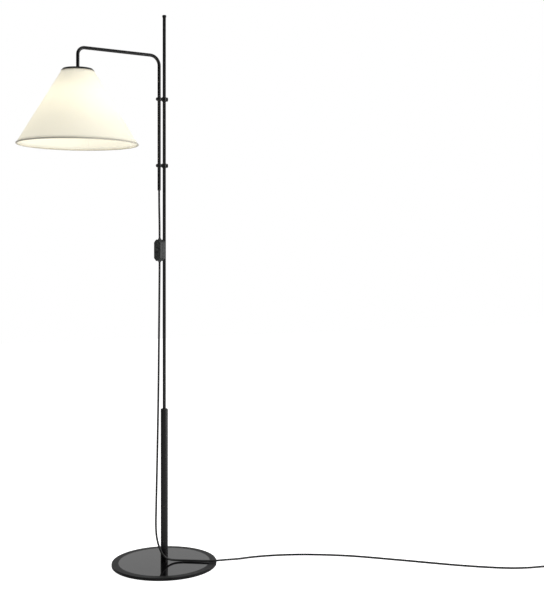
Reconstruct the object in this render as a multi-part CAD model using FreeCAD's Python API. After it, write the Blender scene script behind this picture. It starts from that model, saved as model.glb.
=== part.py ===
"""Pharmacy floor lamp: a round weighted base, a slim pole, an arm that slides and swings on two
clips, a tapered fabric shade on a swivel, and a mains cord with an inline rocker switch.

Millimetres, +Z up. The origin is the centre of the foot pad's underside, on the floor. The pole
stands on the Z axis and the arm reaches towards -X.
"""

import FreeCAD
import Part
import math
import os

V = FreeCAD.Vector
UP, ALONG_X, ALONG_Y = V(0, 0, 1), V(1, 0, 0), V(0, 1, 0)

# ---- driving dimensions -------------------------------------------------------------------

OVERALL_HEIGHT = 1350.0

BASE_R = 128.3
PAD_R, PAD_T = 122.0, 1.2
BASE_TOP = 8.0
COVER_R, COVER_T = 111.5, 1.5
BOLT_HOLE_R = 4.3

STEM_R, STEM_WALL, STEM_TOP = 9.0, 2.0, 381.0
COLLAR_R, COLLAR_H, COLLAR_SPIGOT = 8.6, 2.5, 20.0

POLE_R, POLE_WALL, POLE_FOOT = 4.0, 1.0, 290.0
CAP_KNOB_R, CAP_KNOB_H = 5.0, 5.5

ARM_R, ARM_BORE_R = 4.0, 3.1
ARM_X = -13.1  # the arm's riser stands beside the pole
ARM_FOOT, ARM_TOP, ARM_BEND_R, DROP_BEND_R = 923.0, 1248.6, 24.0, 17.0
DROP_X = -223.1  # the shade's own axis, before the arm swings
ARM_SWING = 8.35  # degrees about the riser: how far the arm is turned in its clips

CLIP_HEIGHTS = {"upper": 1143.0, "lower": 980.0}
CLIP_BAR_R, CLIP_LEFT, CLIP_RIGHT = 4.0, -21.0, 6.2
HUB_HALF, ARM_HUB_R, POLE_HUB_R, HUB_EDGE = 4.4, 5.4, 6.0, 0.8
SLEEVE_R, SLEEVE_FLANGE_R, SLEEVE_FLANGE_T, SLEEVE_HALF = 4.9, 5.5, 0.8, 4.6
RUNNING = 0.05  # radial clearance of a running fit
SCREW_R = 1.5
KNOB_R, KNOB_FROM, KNOB_TO, KNOB_FLUTES = 5.1, 6.4, 8.5, 18

SHADE_TOP_R, SHADE_TOP_Z = 37.0, 1192.4
SHADE_RIM_R, SHADE_RIM_Z = 140.0, 1021.0
FABRIC_T = 1.0
WIRE_R, HEM_R = 1.2, 1.9
CAP_TOP_R, CAP_TOP_Z, CAP_RIM_R, CAP_RIM_Z, CAP_WALL = 34.5, 1197.1, 38.5, 1192.8, 1.0

DROP_END = CAP_TOP_Z - 9.1
BUSH_FOOT = CAP_TOP_Z - 3.6
HOLDER_TOP, SPACER_R = CAP_TOP_Z - 13.6, 14.0
HOLDER_R, HOLDER_BORE_R = 20.0, 14.6
HOLDER_FOOT, HOLDER_SHOULDER = HOLDER_TOP - 43.0, HOLDER_TOP - 13.0
CONTACT_Z, CONTACT_H = HOLDER_TOP - 19.0, 2.5  # the bulb cap's tip touches here
FITTER_Z = HOLDER_TOP - 21.4
BULB_R, BULB_Z, BULB_NECK_R, BULB_GLASS_T = 30.0, HOLDER_TOP - 97.0, 12.4, 0.8

SWITCH_W, SWITCH_L, SWITCH_T, SWITCH_CORNER, SWITCH_WALL = 22.6, 52.5, 17.9, 7.0, 1.6
SWITCH_CONE, PARTING_W, PARTING_DEPTH = 3.0, 0.9, 0.5
SWITCH_AT = V(-13.35, -4.5, 772.4)
SWITCH_TURN = -63.7  # degrees about Z, from facing -Y
ROCKER_PIVOT_Y, ROCKER_R, ROCKER_HALF_W, ROCKER_REST_TILT = -5.2, 6.0, 4.5, 7.0

CORD_R = 2.5
ARC_SHARE = 0.45  # of the shorter run, taken by each arc of a cord's route
COIL_MEAN_R, COIL_HALF_W, COIL_FOOT, COIL_H = 27.5, 5.2, 1.0, 10.0
TIE_T, TIE_W = 1.0, 4.0
PLUG_LENGTH, PLUG_W, PLUG_REAR_W, PLUG_T = 36.0, 25.0, 13.0, 13.7
PIN_R, PIN_OUT, PIN_ROOT_R, PIN_IN, PIN_SPACING = 2.0, 19.0, 1.6, 8.0, 19.0
RELIEF_LENGTH, RELIEF_ROOT_R, RELIEF_TIP_R = 22.0, 4.6, 3.1

# ---- the cord's route, from the arm to the plug ---------------------------------------------

TOP_ROUTE = [(-13.1, 0, 919), (-13.1, 0, 885), (-13.35, -4.5, 835), (-13.35, -4.5, 795)]
IN_SWITCH = (-13.35, -4.5, 752.5)
HANG_FROM = (-13.35, -4.5, 725)
HANG_BOW = (-17, -5.65, 390)
HANG_TO = (-23.2, -5.3, 104)
FLOOR_ROUTE = [
    HANG_TO,
    (-22.4, -6.8, 74),
    (-17, -10.8, 48),
    (-8, -14.8, 27),
    (7.4, -13.1, 15),
    (28.6, -13.1, 10.7),
    (59.7, -28.9, 10.65),
    (99.3, -52.8, 10.9),
    (121, -58.5, 11.7),
    (142, -51.5, 8.8),
    (176.3, -42, 3.6),
    (213.7, -38.1, 2.6),
    (248.9, -42.6, 2.6),
    (282.8, -49.9, 2.6),
    (337.4, -67.3, 2.6),
    (400, -99, 2.6),
    (456, -134.5, 2.6),
    (507, -177, 2.6),
    (558.5, -220.5, 2.6),
    (606, -261.8, 2.6),
    (653.5, -302, 2.6),
    (704, -339.5, 2.6),
    (757, -372.5, 2.6),
    (800, -387, 2.6),
    (840, -393.8, 2.8),
    (870, -397, 3.5),
]
LEAD_ANGLE = -6.0  # degrees: how the cord heads into the coil, and how the plug points


# ---- shared geometry ------------------------------------------------------------------------


def tube(r_out, r_in, low, high, x=0.0):
    """An upright tube, or a disc with a hole, between two heights."""
    outer = Part.makeCylinder(r_out, high - low, V(x, 0, low), UP)
    return outer.cut(Part.makeCylinder(r_in, high - low, V(x, 0, low), UP))


def turned(points, x=0.0):
    """A closed outline of (radius, height) points, turned about an upright axis."""
    corners = [V(x + r, 0, z) for r, z in points]
    face = Part.Face(Part.makePolygon(corners + corners[:1]))
    return face.revolve(V(x, 0, 0), UP, 360)


def bent_wire(points, radius_at):
    """Straight runs joined by tangent arcs, with the arc's radius from radius_at(run, turn)."""
    corners = [V(*p) for p in points]
    edges, start, radii = [], corners[0], []
    for before, corner, after in zip(corners, corners[1:], corners[2:]):
        back, ahead = (before - corner), (after - corner)
        turn = math.pi - back.getAngle(ahead)
        radius = radius_at(min(back.Length, ahead.Length), turn)
        reach = radius * math.tan(turn / 2)
        back.normalize()
        ahead.normalize()
        inward = (back + ahead).normalize()
        middle = corner + inward * (radius / math.cos(turn / 2) - radius)
        entry, leave = corner + back * reach, corner + ahead * reach
        edges.append(Part.LineSegment(start, entry).toShape())
        edges.append(Part.Arc(entry, middle, leave).toShape())
        start = leave
        radii.append(radius)
    edges.append(Part.LineSegment(start, corners[-1]).toShape())
    return Part.Wire(edges), radii


def swept(path, points, radius):
    """A round bar along a path that starts at points[0] and heads for points[1]."""
    heading = V(*points[1]) - V(*points[0])
    ring = Part.Wire(Part.Circle(V(*points[0]), heading, radius).toShape())
    return path.makePipeShell([ring], True, False)


def cord_tube(name, points):
    """A free cord's stretch, whose arcs are as large as its runs allow."""
    path, radii = bent_wire(points, lambda run, turn: ARC_SHARE * run / math.tan(turn / 2))
    solid = swept(path, points, CORD_R)
    ideal = math.pi * CORD_R**2 * path.Length
    tightest = min(radii, default=0)
    print(
        f"{name}: length {path.Length:.1f}, tightest radius {tightest:.1f},",
        f"volume {solid.Volume:.1f} of {ideal:.1f}",
    )
    return solid


def bar_x(radius, start, end, z):
    """A round bar along X, over the Z axis."""
    return Part.makeCylinder(radius, end - start, V(start, 0, z), ALONG_X)


def drilled_hex(solid, at, direction, across, depth):
    """A hexagon socket sunk into a screw's head."""
    socket = Part.makePolygon(
        [V(across / math.sqrt(3), 0, 0)]
        + [
            V(across / math.sqrt(3) * math.cos(a), across / math.sqrt(3) * math.sin(a), 0)
            for a in (math.radians(60 * i) for i in range(1, 7))
        ]
    )
    prism = Part.Face(socket).extrude(V(0, 0, depth))
    prism.Placement = FreeCAD.Placement(at, FreeCAD.Rotation(UP, direction))
    return solid.cut(prism)


# ---- base, stem and pole ----------------------------------------------------------------------


def foot_pad():
    return Part.makeCylinder(PAD_R, PAD_T)


def base_disc():
    disc = Part.makeCylinder(BASE_R, BASE_TOP - PAD_T, V(0, 0, PAD_T))
    rims = [e for e in disc.Edges if len(e.Vertexes) == 1]
    disc = disc.makeFillet(1.2, rims)
    recess = Part.makeCylinder(COVER_R + 0.3, COVER_T, V(0, 0, BASE_TOP - COVER_T))
    counterbore = Part.makeCylinder(13, 3.6, V(0, 0, PAD_T))
    hole = Part.makeCylinder(BOLT_HOLE_R, BASE_TOP)
    return disc.cut(recess).cut(counterbore).cut(hole)


def base_cover_plate():
    return tube(COVER_R, BOLT_HOLE_R, BASE_TOP - COVER_T, BASE_TOP)


def base_washer():
    return tube(12, BOLT_HOLE_R, 4.0, 4.8)


def base_bolt():
    head = Part.makeCylinder(9, 2.4, V(0, 0, 1.6))
    shank = Part.makeCylinder(3.9, 23, V(0, 0, 4.0))
    return drilled_hex(head.fuse(shank).removeSplitter(), V(0, 0, 1.5), UP, 6, 1.5)


def stem_tube():
    return tube(STEM_R, STEM_R - STEM_WALL, BASE_TOP, STEM_TOP)


def stem_foot_insert():
    insert = Part.makeCylinder(STEM_R - STEM_WALL, 26, V(0, 0, BASE_TOP))
    return insert.cut(Part.makeCylinder(4.0, 20, V(0, 0, BASE_TOP)))


def stem_collar():
    """The bush in the stem's mouth that grips the pole, with a chamfered rim."""
    bore, spigot = POLE_R, STEM_R - STEM_WALL
    top = STEM_TOP + COLLAR_H
    return turned(
        [
            (bore, STEM_TOP - COLLAR_SPIGOT),
            (spigot, STEM_TOP - COLLAR_SPIGOT),
            (spigot, STEM_TOP),
            (COLLAR_R, STEM_TOP),
            (COLLAR_R, top - 1.2),
            (COLLAR_R - 1.2, top),
            (bore, top),
        ]
    )


def pole_rod():
    return tube(POLE_R, POLE_R - POLE_WALL, POLE_FOOT, OVERALL_HEIGHT - CAP_KNOB_H)


def pole_lower_guide():
    return tube(STEM_R - STEM_WALL, POLE_R, POLE_FOOT + 6, POLE_FOOT + 16)


def pole_cap():
    """The end knob, with a spigot pushed into the pole."""
    top = OVERALL_HEIGHT
    knob_foot, spigot_r = top - CAP_KNOB_H, POLE_R - POLE_WALL
    return turned(
        [
            (0, knob_foot - 9),
            (spigot_r, knob_foot - 9),
            (spigot_r, knob_foot),
            (CAP_KNOB_R - 0.5, knob_foot),
            (CAP_KNOB_R, knob_foot + 0.5),
            (CAP_KNOB_R, top - 1.0),
            (CAP_KNOB_R - 1.0, top),
            (0, top),
        ]
    )


# ---- clips, sleeves and their screws ------------------------------------------------------------


def pole_sleeve(z):
    """A split nylon bush round the pole, which the clip turns on and slides with."""
    bore = POLE_R + RUNNING
    edge = SLEEVE_HALF + SLEEVE_FLANGE_T
    return turned(
        [
            (bore, z - edge),
            (SLEEVE_FLANGE_R, z - edge),
            (SLEEVE_FLANGE_R, z - SLEEVE_HALF),
            (SLEEVE_R, z - SLEEVE_HALF),
            (SLEEVE_R, z + SLEEVE_HALF),
            (SLEEVE_FLANGE_R, z + SLEEVE_HALF),
            (SLEEVE_FLANGE_R, z + edge),
            (bore, z + edge),
        ]
    )


def hub(radius, x, z):
    """A barrel-edged ring boss round one of the two rods."""
    return turned(
        [
            (0, z - HUB_HALF),
            (radius - HUB_EDGE, z - HUB_HALF),
            (radius, z - HUB_HALF + HUB_EDGE),
            (radius, z + HUB_HALF - HUB_EDGE),
            (radius - HUB_EDGE, z + HUB_HALF),
            (0, z + HUB_HALF),
        ],
        x,
    )


def clip(z):
    """The casting that ties the arm's riser to the pole."""
    bar = bar_x(CLIP_BAR_R, CLIP_LEFT, CLIP_RIGHT, z)
    left_edge = [e for e in bar.Edges if len(e.Vertexes) == 1 and e.CenterOfMass.x < ARM_X]
    bar = bar.makeFillet(2.2, left_edge)
    body = bar.fuse([hub(ARM_HUB_R, ARM_X, z), hub(POLE_HUB_R, 0, z)]).removeSplitter()
    holes = [
        Part.makeCylinder(ARM_R, 20, V(ARM_X, 0, z - 10)),
        Part.makeCylinder(SLEEVE_R + RUNNING, 20, V(0, 0, z - 10)),
        bar_x(SCREW_R + RUNNING, CLIP_LEFT - 1, ARM_X, z),
        bar_x(SCREW_R + RUNNING, 4, CLIP_RIGHT + 1, z),
    ]
    return body.cut(holes)


def arm_lock_screws():
    """The two set screws that lock the clips to the arm's riser."""
    start, end = CLIP_LEFT + 0.6, ARM_X - ARM_R
    screws = []
    for z in CLIP_HEIGHTS.values():
        screw = bar_x(SCREW_R, start, end, z)
        screws.append(drilled_hex(screw, V(start - 0.1, 0, z), ALONG_X, 1.5, 1.6))
    return Part.makeCompound(screws)


def thumb_screw(z):
    """A fluted knob on a short shank that presses the sleeve on to the pole."""
    knob = bar_x(KNOB_R, KNOB_FROM, KNOB_TO, z)
    knob = knob.makeChamfer(0.4, [e for e in knob.Edges if len(e.Vertexes) == 1])
    flutes = []
    for i in range(KNOB_FLUTES):
        angle = 2 * math.pi * i / KNOB_FLUTES
        centre = V(KNOB_FROM - 1, KNOB_R * math.cos(angle), z + KNOB_R * math.sin(angle))
        flutes.append(Part.makeCylinder(0.4, KNOB_TO - KNOB_FROM + 2, centre, ALONG_X))
    shank = bar_x(SCREW_R, SLEEVE_R + 0.15, KNOB_FROM, z)
    return knob.cut(flutes).fuse(shank)


# ---- arm ----------------------------------------------------------------------------------------

ARM_LINE = [(ARM_X, 0, ARM_FOOT), (ARM_X, 0, ARM_TOP), (DROP_X, 0, ARM_TOP)]


def arm_path(line):
    """The arm's centre line: a wide bend over the riser, and a tighter one over the shade."""
    bends = iter((ARM_BEND_R, DROP_BEND_R))
    path, _ = bent_wire(line, lambda run, turn: next(bends))
    return path


def arm_tube():
    line = ARM_LINE + [(DROP_X, 0, DROP_END)]
    path = arm_path(line)
    return swept(path, line, ARM_R).cut(swept(path, line, ARM_BORE_R))


def arm_cable():
    """The cord's covered length, from the ferrule's mouth through the tube to the lampholder."""
    foot = (ARM_X, 0, TOP_ROUTE[0][2])
    line = [foot] + ARM_LINE[1:] + [(DROP_X, 0, HOLDER_TOP - 5)]
    return swept(arm_path(line), line, CORD_R)


def arm_ferrule():
    """The plastic bush that lines the tube's open foot."""
    bore, mouth = CORD_R + RUNNING, TOP_ROUTE[0][2]
    return turned(
        [
            (bore, mouth),
            (3.4, mouth),
            (ARM_R, mouth + 1.2),
            (ARM_R, ARM_FOOT),
            (ARM_BORE_R - RUNNING, ARM_FOOT),
            (ARM_BORE_R - RUNNING, ARM_FOOT + 10),
            (bore, ARM_FOOT + 10),
        ],
        ARM_X,
    )


def drop_collar():
    """The brass ring fixed on the arm's end, which carries the swivelling head."""
    return tube(7.5, ARM_R, DROP_END + 1.0, BUSH_FOOT - 0.1, DROP_X)


# ---- head -----------------------------------------------------------------------------------------


def shade_cap():
    inner_top_r, inner_rim_r = CAP_TOP_R - 0.4, CAP_RIM_R - 1.3
    return turned(
        [
            (ARM_R + 0.15, CAP_TOP_Z - CAP_WALL),
            (inner_top_r, CAP_TOP_Z - CAP_WALL),
            (inner_rim_r, CAP_RIM_Z),
            (CAP_RIM_R, CAP_RIM_Z),
            (CAP_TOP_R, CAP_TOP_Z),
            (ARM_R + 0.15, CAP_TOP_Z),
        ],
        DROP_X,
    )


def swivel_bush():
    return tube(10, ARM_R + 0.08, BUSH_FOOT, CAP_TOP_Z - CAP_WALL, DROP_X)


def screw_places():
    """The two holder screws stand either side of the head's axis."""
    return [V(DROP_X + side * 12.1, 0, 0) for side in (-1, 1)]


def holder_spacer():
    ring = tube(SPACER_R, 10.2, HOLDER_TOP, CAP_TOP_Z - CAP_WALL, DROP_X)
    holes = [Part.makeCylinder(1.3, 9, p + V(0, 0, HOLDER_TOP - 1)) for p in screw_places()]
    return ring.cut(holes)


def holder_screws():
    screws = []
    for p in screw_places():
        head = Part.makeCylinder(2.2, 1.5, p + V(0, 0, HOLDER_TOP - 4.5))
        shank = Part.makeCylinder(1.2, 10.5, p + V(0, 0, HOLDER_TOP - 3))
        screws.append(head.fuse(shank).removeSplitter())
    return Part.makeCompound(screws)


def lampholder_top():
    dome = turned(
        [
            (3.2, HOLDER_TOP - 3),
            (14.6, HOLDER_TOP - 3),
            (HOLDER_R - 2, HOLDER_SHOULDER),
            (HOLDER_R, HOLDER_SHOULDER),
            (16.5, HOLDER_TOP),
            (3.2, HOLDER_TOP),
        ],
        DROP_X,
    )
    return dome.cut([Part.makeCylinder(1.3, 8, p + V(0, 0, HOLDER_TOP - 5)) for p in screw_places()])


def lampholder_skirt():
    return turned(
        [
            (HOLDER_BORE_R, HOLDER_FOOT),
            (HOLDER_R - 0.8, HOLDER_FOOT),
            (HOLDER_R, HOLDER_FOOT + 0.8),
            (HOLDER_R, HOLDER_TOP - 19),
            (23, HOLDER_TOP - 19),
            (23, HOLDER_TOP - 16),
            (HOLDER_R, HOLDER_TOP - 16),
            (HOLDER_R, HOLDER_SHOULDER),
            (HOLDER_BORE_R, HOLDER_SHOULDER),
        ],
        DROP_X,
    )


def holder_thread_shell():
    return tube(HOLDER_BORE_R, 13.4, HOLDER_FOOT + 3, CONTACT_Z + CONTACT_H, DROP_X)


def holder_insulator():
    return Part.makeCylinder(HOLDER_BORE_R, 3.5, V(DROP_X, 0, CONTACT_Z + CONTACT_H))


def centre_contact():
    return Part.makeCylinder(3, CONTACT_H, V(DROP_X, 0, CONTACT_Z))


def shade_ring_nut():
    """The ribbed plastic ring that holds the shade's fitter against the lampholder."""
    ring = tube(26, HOLDER_R + 0.1, FITTER_Z - 7.6, FITTER_Z - 0.1, DROP_X)
    ribs = []
    for i in range(24):
        angle = 2 * math.pi * i / 24
        at = V(DROP_X + 26.2 * math.cos(angle), 26.2 * math.sin(angle), FITTER_Z - 9)
        ribs.append(Part.makeCylinder(1.0, 10, at))
    return ring.cut(ribs)


def fabric_mid(z):
    """The fabric's mid-surface radius at a height."""
    slope = (SHADE_RIM_R - SHADE_TOP_R) / (SHADE_TOP_Z - SHADE_RIM_Z)
    return SHADE_TOP_R + slope * (SHADE_TOP_Z - z)


def cone_band(inner, outer, low, high):
    """A band of the shade's cone, between two offsets square to the fabric and two heights."""
    fall, spread = SHADE_TOP_Z - SHADE_RIM_Z, SHADE_RIM_R - SHADE_TOP_R
    across = math.hypot(fall, spread) / fall  # a square offset's width along a radius
    return turned(
        [
            (fabric_mid(low) + inner * across, low),
            (fabric_mid(low) + outer * across, low),
            (fabric_mid(high) + outer * across, high),
            (fabric_mid(high) + inner * across, high),
        ],
        DROP_X,
    )


def shade_fabric():
    cone = cone_band(-FABRIC_T / 2, FABRIC_T / 2, SHADE_RIM_Z, SHADE_TOP_Z)
    return cone.cut(Part.makeTorus(SHADE_RIM_R, HEM_R, V(DROP_X, 0, SHADE_RIM_Z)))


def shade_top_trim():
    return cone_band(FABRIC_T / 2, FABRIC_T / 2 + 0.4, SHADE_TOP_Z - 2.2, SHADE_TOP_Z)


def shade_bottom_ring():
    return Part.makeTorus(SHADE_RIM_R, WIRE_R, V(DROP_X, 0, SHADE_RIM_Z))


def shade_hem():
    """The fabric turned round the bottom wire, open in a slit on its inner side."""
    at = V(DROP_X, 0, SHADE_RIM_Z)
    roll = Part.makeTorus(SHADE_RIM_R, HEM_R, at).cut(
        Part.makeTorus(SHADE_RIM_R, WIRE_R + RUNNING, at)
    )
    slit = tube(SHADE_RIM_R, SHADE_RIM_R - 4, SHADE_RIM_Z - 0.2, SHADE_RIM_Z + 0.2, DROP_X)
    return roll.cut(slit)


def shade_top_frame():
    """The fitter ring on the lampholder, three spokes and the top wire, welded together."""
    wire_r, spoke_r, ring_r, ring_z = 1.4, 1.2, 35.6, SHADE_TOP_Z - 2
    fitter = tube(25.5, HOLDER_R + 0.4, FITTER_Z, FITTER_Z + 1.8, DROP_X)
    pieces = [Part.makeTorus(ring_r, wire_r, V(DROP_X, 0, ring_z))]
    for i in range(3):
        angle = math.radians(120 * i + 30)
        out = V(math.cos(angle), math.sin(angle), 0)
        foot = V(DROP_X, 0, FITTER_Z + 0.9) + out * 24.2
        rise = V(DROP_X, 0, ring_z) + out * ring_r - foot
        pieces.append(Part.makeCylinder(spoke_r, rise.Length, foot, rise))
    return fitter.fuse(pieces).removeSplitter()


def glass_outline(inset):
    """Half the bulb's outline: a ball, a straight shoulder and a neck, drawn inset by a wall."""
    ball, swing = BULB_R - inset, math.radians(36)
    low = V(DROP_X, 0, BULB_Z - ball)
    shoulder = V(DROP_X + ball * math.cos(swing), 0, BULB_Z + ball * math.sin(swing))
    neck_r = BULB_NECK_R - inset
    bend = V(DROP_X + neck_r + 1.2, 0, BULB_Z + 32)
    waist, mouth = V(DROP_X + neck_r, 0, BULB_Z + 38), V(DROP_X + neck_r, 0, BULB_Z + 54)
    return [
        Part.Arc(low, V(DROP_X + ball, 0, BULB_Z), shoulder).toShape(),
        Part.LineSegment(shoulder, bend).toShape(),
        Part.LineSegment(bend, waist).toShape(),
        Part.LineSegment(waist, mouth).toShape(),
    ]


def bulb_globe():
    outer, inner = glass_outline(0), glass_outline(BULB_GLASS_T)
    closing = [
        Part.LineSegment(outer[0].Vertexes[0].Point, inner[0].Vertexes[0].Point).toShape(),
        Part.LineSegment(outer[-1].Vertexes[-1].Point, inner[-1].Vertexes[-1].Point).toShape(),
    ]
    face = Part.Face(Part.Wire(Part.__sortEdges__(outer + inner + closing)))
    return face.revolve(V(DROP_X, 0, 0), UP, 360)


def bulb_cap():
    """The screw cap, whose tip touches the holder's contact."""
    outline = [
        (BULB_NECK_R + 0.1, -27),
        (13.2, -27),
        (13.2, -6),
        (9, -3),
        (4.5, -1.5),
        (4.5, 0),
        (0, 0),
        (0, -2.5),
        (8.4, -4),
        (BULB_NECK_R + 0.1, -6.6),
    ]
    return turned([(r, CONTACT_Z + z) for r, z in outline], DROP_X)


# ---- inline switch, built facing -Y about its own centre ---------------------------------------


def placed(shape):
    turn = FreeCAD.Rotation(UP, SWITCH_TURN)
    shape.Placement = FreeCAD.Placement(SWITCH_AT, turn).multiply(shape.Placement)
    return shape


def octagon_prism(width, length, corner, front, back):
    """A block with its four long corners cut, between two depths along Y."""
    w, h, c = width / 2, length / 2, corner
    outline = [(w, c - h), (w, h - c), (w - c, h), (c - w, h)]
    outline += [(-w, h - c), (-w, c - h), (c - w, -h), (w - c, -h)]
    points = [V(x, front, z) for x, z in outline]
    return Part.Face(Part.makePolygon(points + points[:1])).extrude(V(0, back - front, 0))


def switch_screw_places():
    return [V(-6.6, 0, 15), V(6.6, 0, -15)]


def parting_groove():
    """The shadow gap round the casing, where the two shells meet."""
    sizes = [(SWITCH_W + grow, SWITCH_L + grow) for grow in (2, -2 * PARTING_DEPTH)]
    outer, inner = [octagon_prism(w, l, SWITCH_CORNER, -PARTING_W / 2, PARTING_W / 2) for w, l in sizes]
    return outer.cut(inner)


def switch_housing():
    """The whole casing, before it is parted on the plane y = 0."""
    half_t, half_l = SWITCH_T / 2, SWITCH_L / 2
    block = octagon_prism(SWITCH_W, SWITCH_L, SWITCH_CORNER, -half_t, half_t)
    flat_rims = [
        e
        for e in block.Edges
        if abs(abs(e.Vertexes[0].Y) - half_t) < 1e-6 and abs(e.Vertexes[0].Y - e.Vertexes[1].Y) < 1e-6
    ]
    block = block.makeFillet(1.6, flat_rims).cut(parting_groove())
    cavity = octagon_prism(
        SWITCH_W - 2 * SWITCH_WALL,
        SWITCH_L - 2 * SWITCH_WALL,
        SWITCH_CORNER - 0.8,
        SWITCH_WALL - half_t,
        half_t - SWITCH_WALL,
    )
    cones, channels = [], []
    for side in (-1, 1):
        foot = V(0, 0, side * (half_l - 0.5))
        cones.append(Part.makeCone(4.4, 3.1, SWITCH_CONE + 0.5, foot, UP * side))
        channels.append(Part.makeCylinder(CORD_R + RUNNING, 9, V(0, 0, side * (half_l - 3)), UP * side))
    bosses = [
        Part.makeCylinder(2.7, SWITCH_T - 2, p + V(0, 1 - half_t, 0), ALONG_Y)
        for p in switch_screw_places()
    ]
    return block.fuse(cones).cut(cavity).fuse(bosses).cut(channels).removeSplitter()


def switch_shells():
    """Front shell with the rocker's window and ears, and back shell with the screw heads' seats."""
    housing = switch_housing()
    near, far = Part.makeBox(60, 30, 90, V(-30, -30, -45)), Part.makeBox(60, 30, 90, V(-30, 0, -45))
    window = Part.makeBox(9.5, 5, 11.6, V(-4.75, -1 - SWITCH_T / 2, -5.8))
    ears = []
    for x in (-6.4, 4.8):
        ear = Part.makeBox(1.6, 4.6, 4.4, V(x, ROCKER_PIVOT_Y - 2.9, -2.2))
        ears.append(ear.cut(Part.makeCylinder(1.05, 3, V(x - 0.5, ROCKER_PIVOT_Y, 0), ALONG_X)))
    threads = [Part.makeCylinder(1.1, 6, p + V(0, -6, 0), ALONG_Y) for p in switch_screw_places()]
    front = housing.common(near).cut([window] + threads).fuse(ears).removeSplitter()
    seats = []
    for p in switch_screw_places():
        seats.append(Part.makeCylinder(1.3, 10, p, ALONG_Y))
        seats.append(Part.makeCylinder(2.4, 3, p + V(0, SWITCH_T / 2 - 1.8, 0), ALONG_Y))
    back = housing.common(far).cut(seats)
    return placed(front), placed(back)


def switch_screws():
    screws = []
    for p in switch_screw_places():
        shank = Part.makeCylinder(1.05, 10.5, p + V(0, -5, 0), ALONG_Y)
        head_at = SWITCH_T / 2 - 1.8
        head = Part.makeCylinder(2.2, 1.3, p + V(0, head_at, 0), ALONG_Y)
        neck = Part.makeCylinder(1.05, head_at, p, ALONG_Y)
        slot = Part.makeBox(5, 1, 0.6, p + V(-2.5, head_at + 0.7, -0.3))
        screws.append(head.fuse([shank, neck]).removeSplitter().cut(slot))
    return placed(Part.makeCompound(screws))


def switch_terminals():
    """Four brass terminal blocks, two for each end of the cord, standing off the back shell."""
    blocks, side = [], 4.5
    y = SWITCH_T / 2 - SWITCH_WALL - 0.25 - side
    for x in (-5.5, 1.5):
        for z in (-12.5, 7.5):
            block = Part.makeBox(3.6, side, side, V(x, y, z))
            blocks.append(block.cut(Part.makeCylinder(0.9, 6, V(x + 1.8, y + 2.2, z - 0.5), UP)))
    return placed(Part.makeCompound(blocks))


def switch_rocker():
    """The rocker: a drum cut to a shallow hollow V, on two stub pins, tipped to its ON side."""
    width = 2 * ROCKER_HALF_W
    pivot = V(0, ROCKER_PIVOT_Y, 0)
    drum = Part.makeCylinder(ROCKER_R, width, pivot - V(ROCKER_HALF_W, 0, 0), ALONG_X)
    under = Part.makeBox(width, 20, 20, V(-ROCKER_HALF_W, ROCKER_PIVOT_Y + 2.2, -10))
    valley = V(0, 0.2 - SWITCH_T / 2, 0)
    for side in (-1, 1):
        low = 0 if side > 0 else -20
        slab = Part.makeBox(width + 2, 20, 20, V(-ROCKER_HALF_W - 1, -20, low))
        slab.rotate(V(0, 0, 0), ALONG_X, side * 7)
        slab.translate(valley)
        drum = drum.cut(slab)
    pins = Part.makeCylinder(1.0, width + 2.8, pivot - V(ROCKER_HALF_W + 1.4, 0, 0), ALONG_X)
    rocker = drum.cut(under).fuse(pins).removeSplitter()
    rocker.rotate(pivot, ALONG_X, ROCKER_REST_TILT)
    return placed(rocker)


# ---- coil, tie and plug ------------------------------------------------------------------------


def heading(angle=0.0):
    """The way the cord enters the coil, turned by an angle."""
    a = math.radians(LEAD_ANGLE + angle)
    return V(math.cos(a), math.sin(a), 0)


def coil_centre():
    """The coil winds to the right, so its centre is square to the cord's heading."""
    entry = V(*FLOOR_ROUTE[-1])
    at = entry + heading(-90) * (COIL_MEAN_R + CORD_R)
    return V(at.x, at.y, 0)


def coil_ring(grow=0.0):
    outer = COIL_MEAN_R + COIL_HALF_W + grow
    inner = COIL_MEAN_R - COIL_HALF_W - grow
    ring = Part.makeCylinder(outer, COIL_H, V(0, 0, COIL_FOOT))
    return ring.cut(Part.makeCylinder(inner, COIL_H, V(0, 0, COIL_FOOT)))


def cord_coil():
    ring = coil_ring()
    ring = ring.makeFillet(2.2, [e for e in ring.Edges if len(e.Vertexes) == 1])
    ring.translate(coil_centre())
    return ring


def coil_tie():
    """A flat strap once round the bundle, on the coil's far side."""
    width = 2 * (COIL_HALF_W + TIE_T)
    strap = Part.makeBox(width, TIE_W, COIL_H + 2 * TIE_T, V(COIL_MEAN_R - width / 2, -TIE_W / 2, 0))
    strap = strap.cut(coil_ring())
    strap.rotate(V(0, 0, 0), UP, LEAD_ANGLE - 60)
    strap.translate(coil_centre())
    return strap


TAIL_RUN, TAIL_TOP, PLUG_Z = 43.0, 8.6, PLUG_T / 2


def tail_route():
    """From the coil's top turn, over its outer turn, to the plug's strain relief."""
    start = coil_centre() + heading(90) * COIL_MEAN_R + V(0, 0, TAIL_TOP)
    middle = start + heading() * (TAIL_RUN * 0.5)
    end = start + heading() * TAIL_RUN
    return [tuple(start), tuple(middle), (end.x, end.y, PLUG_Z)]


def on_plug_axis(shape):
    """Carries a shape built along +X from the plug's rear face to its place."""
    end = V(*tail_route()[-1])
    at = end + heading() * RELIEF_LENGTH
    shape.Placement = FreeCAD.Placement(at, FreeCAD.Rotation(UP, LEAD_ANGLE)).multiply(shape.Placement)
    return shape


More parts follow.
